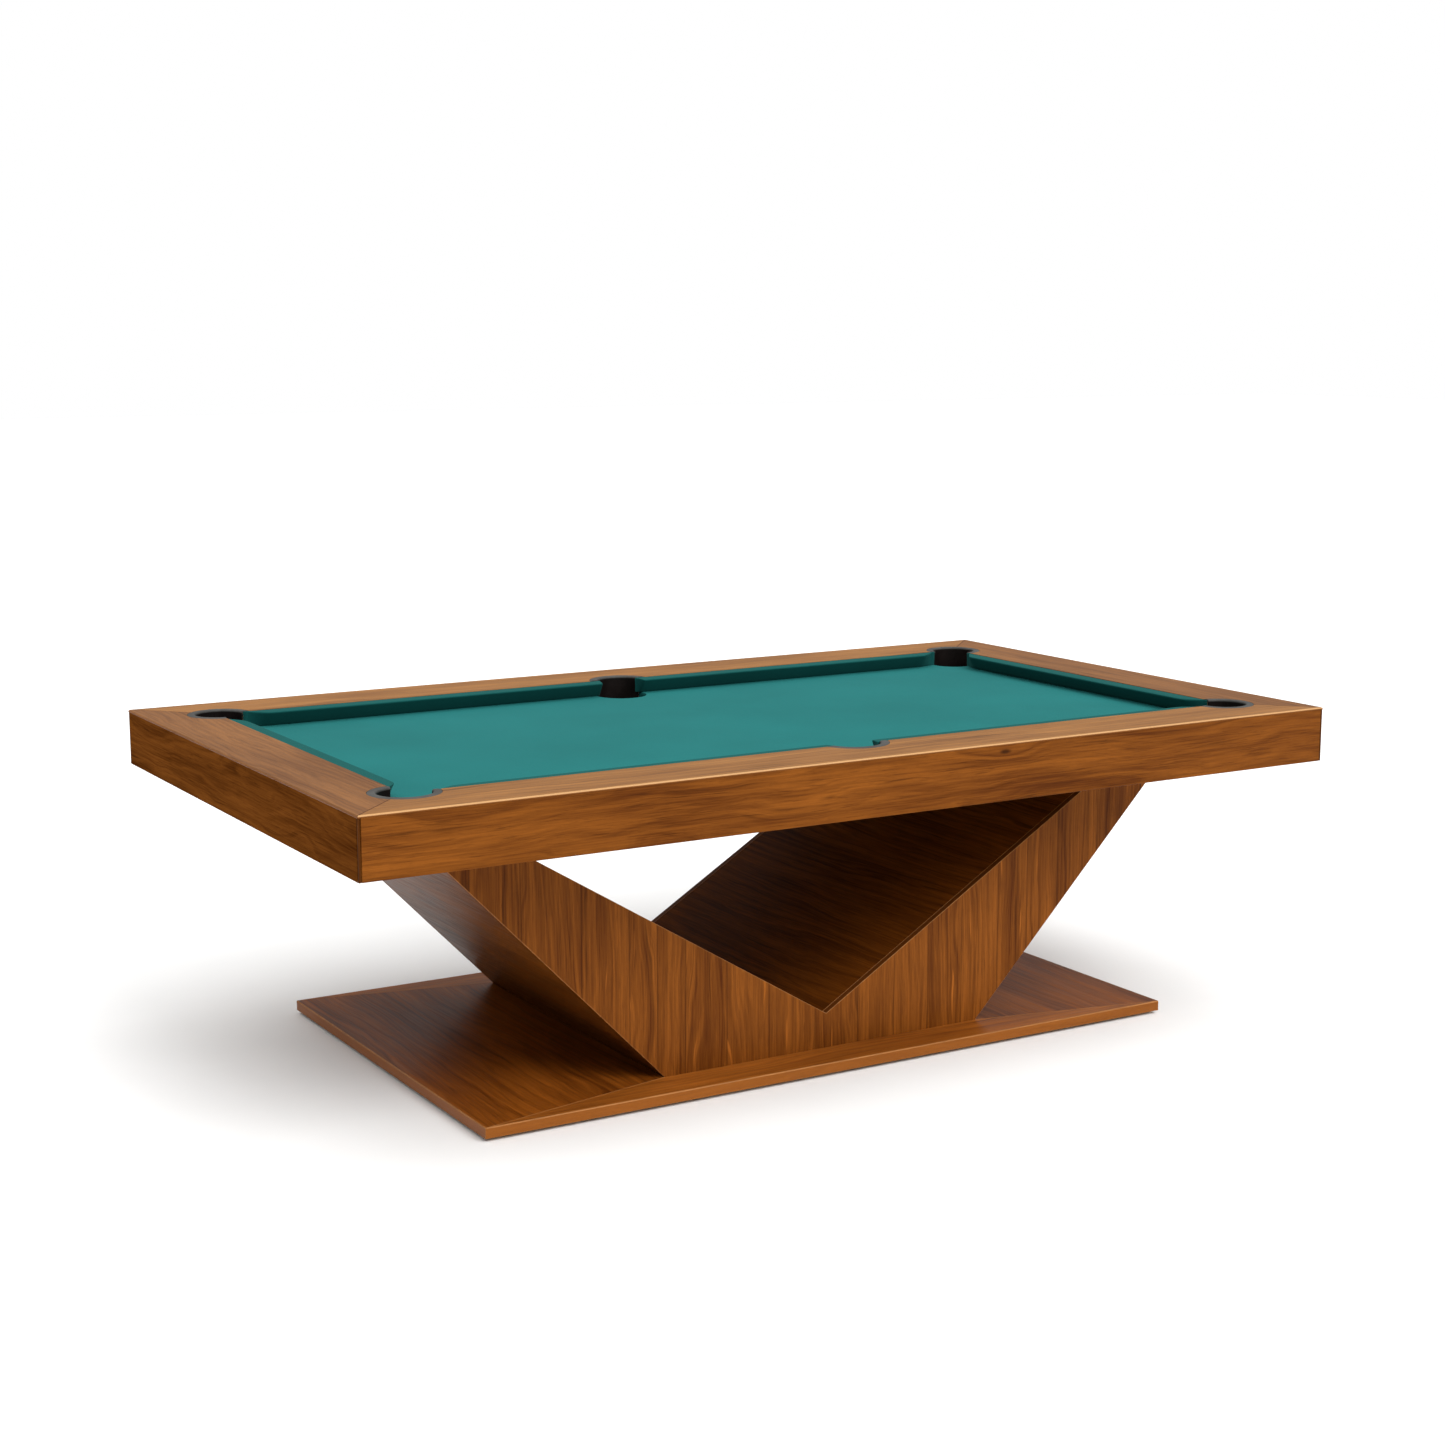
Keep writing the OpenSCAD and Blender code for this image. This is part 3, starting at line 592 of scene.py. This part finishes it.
def cushion_stations(length, depth, ends):
    """(place along the cushion, setback of the nose) for every ring of the mesh.
    The covered tip runs on past the end of the rubber, up to the pocket."""
    reach = [depth / math.tan(jaw) + 4 * soft for jaw, soft, tip in ends]
    places = [reach[0] * (i / CUSHION_JAW_STEPS) for i in range(CUSHION_JAW_STEPS)]
    middle = length - reach[0] - reach[1]
    places += [reach[0] + middle * i / CUSHION_SPAN_STEPS for i in range(CUSHION_SPAN_STEPS)]
    places += [length - reach[1] * (i / CUSHION_JAW_STEPS) for i in range(CUSHION_JAW_STEPS, -1, -1)]
    rings = [(-ends[0][2], depth - CUSHION_TIP)]
    for place in places:
        back = max(setback(place, depth, *ends[0][:2]), setback(length - place, depth, *ends[1][:2]))
        rings.append((place, back))
    rings.append((length + ends[1][2], depth - CUSHION_TIP))
    return rings


def build_cushion(node, start, along, back, length, ends):
    """A closed cushion on its wood line. start is where it begins on the nose line, along and back
    are its directions, and ends are the jaw angle and softness at its two ends."""
    low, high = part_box(node)
    depth = abs((high - low).dot(Vector(back)))
    section = cushion_section(depth, low.z, high.z)
    along = Vector(along)
    back = Vector(back)
    points = []
    rings = cushion_stations(length, depth, ends)
    for place, nose in rings:
        squeeze = (depth - nose) / depth
        for behind, height in section:
            across = nose + behind * squeeze
            points.append(start + along * place + back * across + Vector((0, 0, height)))
    count = len(section)
    faces = []
    for i in range(len(rings) - 1):
        for j in range(count):
            k = (j + 1) % count
            faces.append((i * count + j, i * count + k, (i + 1) * count + k, (i + 1) * count + j))
    faces.append(tuple(range(count)))
    last = (len(rings) - 1) * count
    faces.append(tuple(reversed(range(last, last + count))))
    finish = cushion_finish_x if abs(along.x) > 0.5 else cushion_finish_y
    piece = mesh_object(node + "_covered", points, faces, finish)
    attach(piece, "table")
    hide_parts(node)
    return piece


def pocket_sizes(node):
    """Rim radius, hole radius and centre of a pocket, read from its CAD solid."""
    points = [v.co for v in nodes[node].data.vertices]
    bottom = min(p.z for p in points)
    base = [p for p in points if p.z < bottom + 0.1 * MM]
    xs = [p.x for p in base]
    ys = [p.y for p in base]
    centre = ((min(xs) + max(xs)) / 2, (min(ys) + max(ys)) / 2)
    outer = (max(xs) - min(xs)) / 2
    rim = max(math.hypot(p.x - centre[0], p.y - centre[1]) for p in points)
    return rim, outer - LINER_WALL, centre


def tip_reach(wood_end, across, along_centre, bore):
    """How far the wood line runs on from a cushion's end to the pocket's bore in the rail."""
    return along_centre - math.sqrt(bore ** 2 - across ** 2) - wood_end - TIP_GAP


def build_cushions():
    """Six cushions; the covered tips at the corner pockets reach the bores in the rails."""
    line_x = -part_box("rail_body_left")[1].x
    line_y = -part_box("rail_body_front")[1].y
    rim, hole, centre = pocket_sizes("pocket_back_right")
    bore = hole + LINER_WALL + RAIL_BORE_GAP
    long_tip = tip_reach(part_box("cushion_back_right")[1].x, line_y - centre[1], centre[0], bore)
    short_tip = tip_reach(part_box("cushion_right")[1].y, line_x - centre[0], centre[1], bore)
    corner_end = (JAW_CORNER, JAW_SOFT_CORNER, long_tip)
    short_end = (JAW_CORNER, JAW_SOFT_CORNER, short_tip)
    side_end = (JAW_SIDE, JAW_SOFT_SIDE, SIDE_TIP)
    for row, nose_side in (("front", -1), ("back", 1)):
        for half, out in (("left", -1), ("right", 1)):
            node = f"cushion_{row}_{half}"
            low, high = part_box(node)
            outer_x = low.x if out < 0 else high.x
            nose_y = high.y if nose_side < 0 else low.y
            start = Vector((outer_x, nose_y, 0))
            build_cushion(node, start, (-out, 0, 0), (0, nose_side, 0), high.x - low.x,
                          (corner_end, side_end))
    for node, out in (("cushion_left", -1), ("cushion_right", 1)):
        low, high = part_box(node)
        nose_x = high.x if out < 0 else low.x
        start = Vector((nose_x, low.y, 0))
        build_cushion(node, start, (0, 1, 0), (out, 0, 0), high.y - low.y, (short_end, short_end))


build_cushions()


# ---- Pocket liners ----

RIM_OVER_CAP = 0.3 * MM
RIM_CORNER_STEPS = 64
BUCKET_STEPS = 72


def lathe(profile, centre, limits, steps, closed):
    """Points and faces of a turned form. profile is (radius, height), closed on itself; limits gives
    the first and last angle for a radius, and a form that isn't closed gets flat ends."""
    points = []
    count = len(profile)
    rows = steps if closed else steps + 1
    for i in range(rows):
        for radius, height in profile:
            first, last = limits(radius)
            turn = first + (last - first) * i / steps
            points.append((centre[0] + radius * math.cos(turn), centre[1] + radius * math.sin(turn), height))
    faces = []
    for i in range(steps):
        for j in range(count):
            a = i * count + j
            b = i * count + (j + 1) % count
            shift = ((i + 1) % rows - i) * count
            faces.append((a, b, b + shift, a + shift))
    if not closed:
        faces.append(tuple(range(count)))
        faces.append(tuple(reversed(range(steps * count, steps * count + count))))
    return points, faces


def rim_profile(hole, rim, wall_low, flange_low, top):
    """Section of the liner's wall and its rolled rim."""
    return rounded([
        (hole, wall_low, 0),
        (hole, top, 5 * MM),
        (rim - 7 * MM, top - 0.2 * MM, 3 * MM),
        (rim, top - 1.4 * MM, 1.2 * MM),
        (rim, flange_low, 0),
        (hole + LINER_WALL, flange_low, 0),
        (hole + LINER_WALL, wall_low, 0),
    ], 5)


def bucket_profile(hole, low, top):
    """Section of the bucket under the slate, with a rounded floor."""
    outer = hole + LINER_WALL
    floor = low + LINER_WALL
    return rounded([
        (0, floor, 0),
        (hole * 0.86, floor, 0),
        (hole, floor, 9 * MM),
        (hole, top, 0),
        (outer, top, 0),
        (outer, low, 7 * MM),
        (0, low, 0),
    ], 6)


def whole_turn(radius):
    return 0.0, 2 * math.pi


def wall_limits(over, first, last):
    """First and last angle of a liner's wall for each radius. The wall turns from first to last, cut
    back where the wood line passes, at the distance over from the pocket's centre."""
    def limits(radius):
        spare = math.asin(over / max(radius, over))
        return first + spare, last - spare
    return limits


def build_liner(node, centre, hole, rim, limits, wall_low):
    """The bucket and the rimmed wall of one pocket, as one piece in two closed shells."""
    low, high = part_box(node)
    flange_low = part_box("rail_cap_front")[0].z + RIM_OVER_CAP
    wall_points, wall_faces = lathe(
        rim_profile(hole, rim, wall_low, flange_low, high.z), centre, limits, RIM_CORNER_STEPS, False)
    bucket_points, bucket_faces = lathe(
        bucket_profile(hole, low.z, wall_low - 0.02 * MM), centre, whole_turn, BUCKET_STEPS, True)
    shift = len(wall_points)
    faces = wall_faces + [tuple(i + shift for i in face) for face in bucket_faces]
    piece = mesh_object(node + "_liner", wall_points + bucket_points, faces, liner_finish)
    piece.data.shade_smooth()
    crease = piece.modifiers.new("crease", "BEVEL")
    crease.width = 0.6 * MM
    crease.segments = 2
    crease.angle_limit = math.radians(50)
    normals = piece.modifiers.new("normals", "WEIGHTED_NORMAL")
    normals.keep_sharp = False
    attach(piece, "table")
    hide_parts(node)
    return piece


def build_liners():
    """Rims stop where the wood line meets the playing field, as the CAD rims do."""
    line_x = -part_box("rail_body_left")[1].x
    line_y = -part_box("rail_body_front")[1].y
    wall_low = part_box("slate_centre")[0].z + 3 * MM
    for row, sy in (("front", -1), ("back", 1)):
        for side, sx in (("left", -1), ("right", 1)):
            node = f"pocket_{row}_{side}"
            rim, hole, centre = pocket_sizes(node)
            over = line_x - abs(centre[0])
            start = math.atan2(sy, sx) - math.pi / 4
            limits = wall_limits(over, start - math.pi / 2, start + math.pi)
            build_liner(node, centre, hole, rim, limits, wall_low)
        node = f"pocket_side_{row}"
        rim, hole, centre = pocket_sizes(node)
        over = line_y - abs(centre[1])
        start = 0.0 if sy > 0 else math.pi
        build_liner(node, centre, hole, rim, wall_limits(over, start, start + math.pi), wall_low)


build_liners()


# ---- Bed cloth ----

CLOTH_THICKNESS = 0.9 * MM
CLOTH_ROLL = 2.2 * MM
CLOTH_TURN_DOWN = 22 * MM
SLOT_STEP = 3 * MM
LINER_GAP = 0.5 * MM
POCKET_ARC_STEPS = 40
CLOTH_ROLL_STEPS = 5


def pocket_edge(centre, radius, outward):
    """Outline of one pocket opening in the cloth, from edge to edge of the slate.
    outward is the unit direction away from the field; the opening runs out narrower than its bore."""
    side = Vector((-outward.y, outward.x))
    spare = math.asin((radius - SLOT_STEP) / radius)
    points = []
    for i in range(POCKET_ARC_STEPS + 1):
        turn = spare + (2 * math.pi - 2 * spare) * i / POCKET_ARC_STEPS
        arm = outward * math.cos(turn) + side * math.sin(turn)
        points.append(Vector(centre) + radius * arm)
    return points


# The pockets in order round the table, with the direction of each one's way out of the slate
POCKETS_ROUND = (
    ("pocket_front_left", (-1, -1)), ("pocket_side_front", (0, -1)), ("pocket_front_right", (1, -1)),
    ("pocket_back_right", (1, 1)), ("pocket_side_back", (0, 1)), ("pocket_back_left", (-1, 1)),
)


def cloth_openings():
    """The edge of every pocket opening in the cloth, with its centre and its way out."""
    openings = []
    for name, way in POCKETS_ROUND:
        rim, hole, centre = pocket_sizes(name)
        radius = hole + LINER_WALL + LINER_GAP + CLOTH_ROLL - CLOTH_THICKNESS
        out = Vector(way).normalized()
        openings.append((pocket_edge(centre, radius, out), centre, out))
    return openings


def to_slate_edge(point, out, far):
    """Where a line from a point, along out, leaves the slate. far is the slate's far corner."""
    runs = []
    if out.x:
        runs.append((math.copysign(far.x, out.x) - point.x) / out.x)
    if out.y:
        runs.append((math.copysign(far.y, out.y) - point.y) / out.y)
    return point + out * min(runs)


def turn_down(bm, opening, centre, top):
    """The cloth's edge in one opening: a quarter roll, then straight down the bore."""
    columns = []
    for point in opening:
        inward = (Vector(centre) - point).normalized()
        column = []
        for k in range(CLOTH_ROLL_STEPS + 1):
            turn = math.pi / 2 * k / CLOTH_ROLL_STEPS
            spot = point + inward * (CLOTH_ROLL * math.sin(turn))
            column.append((spot.x, spot.y, top - CLOTH_ROLL * (1 - math.cos(turn))))
        end = point + inward * CLOTH_ROLL
        column.append((end.x, end.y, top - CLOTH_TURN_DOWN))
        columns.append([bm.verts.new(spot) for spot in column])
    for a, b in zip(columns, columns[1:]):
        for k in range(len(a) - 1):
            bm.faces.new((a[k], b[k], b[k + 1], a[k + 1]))


def cloth_mesh(high):
    """The cloth's one-sided mesh, facing up, and its area. high is the far top corner of the CAD cloth."""
    bm = bmesh.new()
    openings = cloth_openings()
    outline = []
    for opening, centre, out in openings:
        first = to_slate_edge(opening[0], out, high)
        last = to_slate_edge(opening[-1], out, high)
        outline += [last, *reversed(opening), first]
    corners = [bm.verts.new((p.x, p.y, high.z)) for p in outline]
    edges = [bm.edges.new((a, b)) for a, b in zip(corners, corners[1:] + corners[:1])]
    bmesh.ops.triangle_fill(bm, use_beauty=True, use_dissolve=False, edges=edges)
    for opening, centre, out in openings:
        turn_down(bm, opening, centre, high.z)
    bmesh.ops.remove_doubles(bm, verts=bm.verts, dist=0.01 * MM)
    bmesh.ops.recalc_face_normals(bm, faces=bm.faces)
    if sum(f.normal.z * f.calc_area() for f in bm.faces) < 0:
        bmesh.ops.reverse_faces(bm, faces=bm.faces)
    for face in bm.faces:
        face.smooth = True
    area = sum(f.calc_area() for f in bm.faces)
    mesh = bpy.data.meshes.new("bed_cloth_sheet")
    bm.to_mesh(mesh)
    bm.free()
    mesh.materials.append(bed_cloth_finish)
    return mesh, area


def build_bed_cloth():
    """One sheet over the slates, cut out at the pockets and turned down over the slate's edge there."""
    low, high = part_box("bed_cloth")
    mesh, area = cloth_mesh(high)
    sheet = bpy.data.objects.new("bed_cloth_sheet", mesh)
    bpy.context.scene.collection.objects.link(sheet)
    thick = sheet.modifiers.new("thickness", "SOLIDIFY")
    thick.thickness = CLOTH_THICKNESS
    thick.offset = -1
    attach(sheet, "table")
    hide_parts("bed_cloth")


build_bed_cloth()


# ---- Room ----

FLOOR_HALF = 40.0
# Each softbox: direction of its light, strength, and how wide it looks in degrees
SOFTBOXES = {
    "overhead": ((-0.03, 0.16, -1.0), 1.75, 85),
    "front_fill": ((-0.24, 0.74, -0.66), 1.6, 34),
}
# Strength of the room's light at the floor line and overhead, and how high it stops rising
ROOM_LOW = 0.16
ROOM_HIGH = 1.0
ROOM_RISE = 0.9


def build_floor():
    s = Shader("floor_finish", 0.85, Specular_IOR_Level=0.15)
    place = s.place()
    tone = s.noise(s.vector(place["x"], place["y"], 0.0), 3.0, 3.0, 0.5)
    colour = s.ramp(tone, ((0.3, (0.87, 0.87, 0.865)), (0.7, (0.89, 0.89, 0.885))))
    finish = s.finish(colour)
    corners = [(-FLOOR_HALF, -FLOOR_HALF, 0), (FLOOR_HALF, -FLOOR_HALF, 0),
               (FLOOR_HALF, FLOOR_HALF, 0), (-FLOOR_HALF, FLOOR_HALF, 0)]
    floor = mesh_object("studio_floor", corners, [(0, 1, 2, 3)], finish, smooth=False)


def build_room_light():
    """A room that is dim near the floor line and bright overhead, seen as plain white."""
    world = bpy.data.worlds.new("studio")
    world.use_nodes = True
    bpy.context.scene.world = world
    tree = world.node_tree
    room = tree.nodes["Background"]
    point = tree.nodes.new("ShaderNodeTexCoord")
    split = tree.nodes.new("ShaderNodeSeparateXYZ")
    rise = tree.nodes.new("ShaderNodeMapRange")
    rise.interpolation_type = "SMOOTHSTEP"
    for index, value in ((1, 0.0), (2, ROOM_RISE), (3, ROOM_LOW), (4, ROOM_HIGH)):
        rise.inputs[index].default_value = value
    seen = tree.nodes.new("ShaderNodeBackground")
    for background in (room, seen):
        background.inputs["Color"].default_value = (*WHITE, 1)
    ray = tree.nodes.new("ShaderNodeLightPath")
    pick = tree.nodes.new("ShaderNodeMixShader")
    tree.links.new(point.outputs["Generated"], split.inputs[0])
    tree.links.new(split.outputs["Z"], rise.inputs[0])
    tree.links.new(rise.outputs[0], room.inputs["Strength"])
    tree.links.new(ray.outputs["Is Camera Ray"], pick.inputs[0])
    tree.links.new(room.outputs[0], pick.inputs[1])
    tree.links.new(seen.outputs[0], pick.inputs[2])
    tree.links.new(pick.outputs[0], tree.nodes["World Output"].inputs["Surface"])


def build_softboxes():
    for name, (direction, strength, width) in SOFTBOXES.items():
        data = bpy.data.lights.new(name, "SUN")
        data.energy = strength
        data.angle = math.radians(width)
        light = bpy.data.objects.new(name, data)
        light.rotation_euler = Vector(direction).to_track_quat("-Z", "Y").to_euler()
        bpy.context.scene.collection.objects.link(light)


def build_camera():
    data = bpy.data.cameras.new("photo_camera")
    data.lens = CAMERA_LENS
    data.sensor_width = CAMERA_SENSOR
    data.clip_end = CAMERA_REACH
    camera = bpy.data.objects.new("photo_camera", data)
    camera.location = CAMERA_AT
    camera.rotation_euler = (math.pi / 2 - CAMERA_PITCH, 0, -CAMERA_YAW)
    bpy.context.scene.collection.objects.link(camera)
    bpy.context.scene.camera = camera


build_floor()
build_room_light()
build_softboxes()
build_camera()
bpy.context.scene.view_settings.view_transform = "Standard"
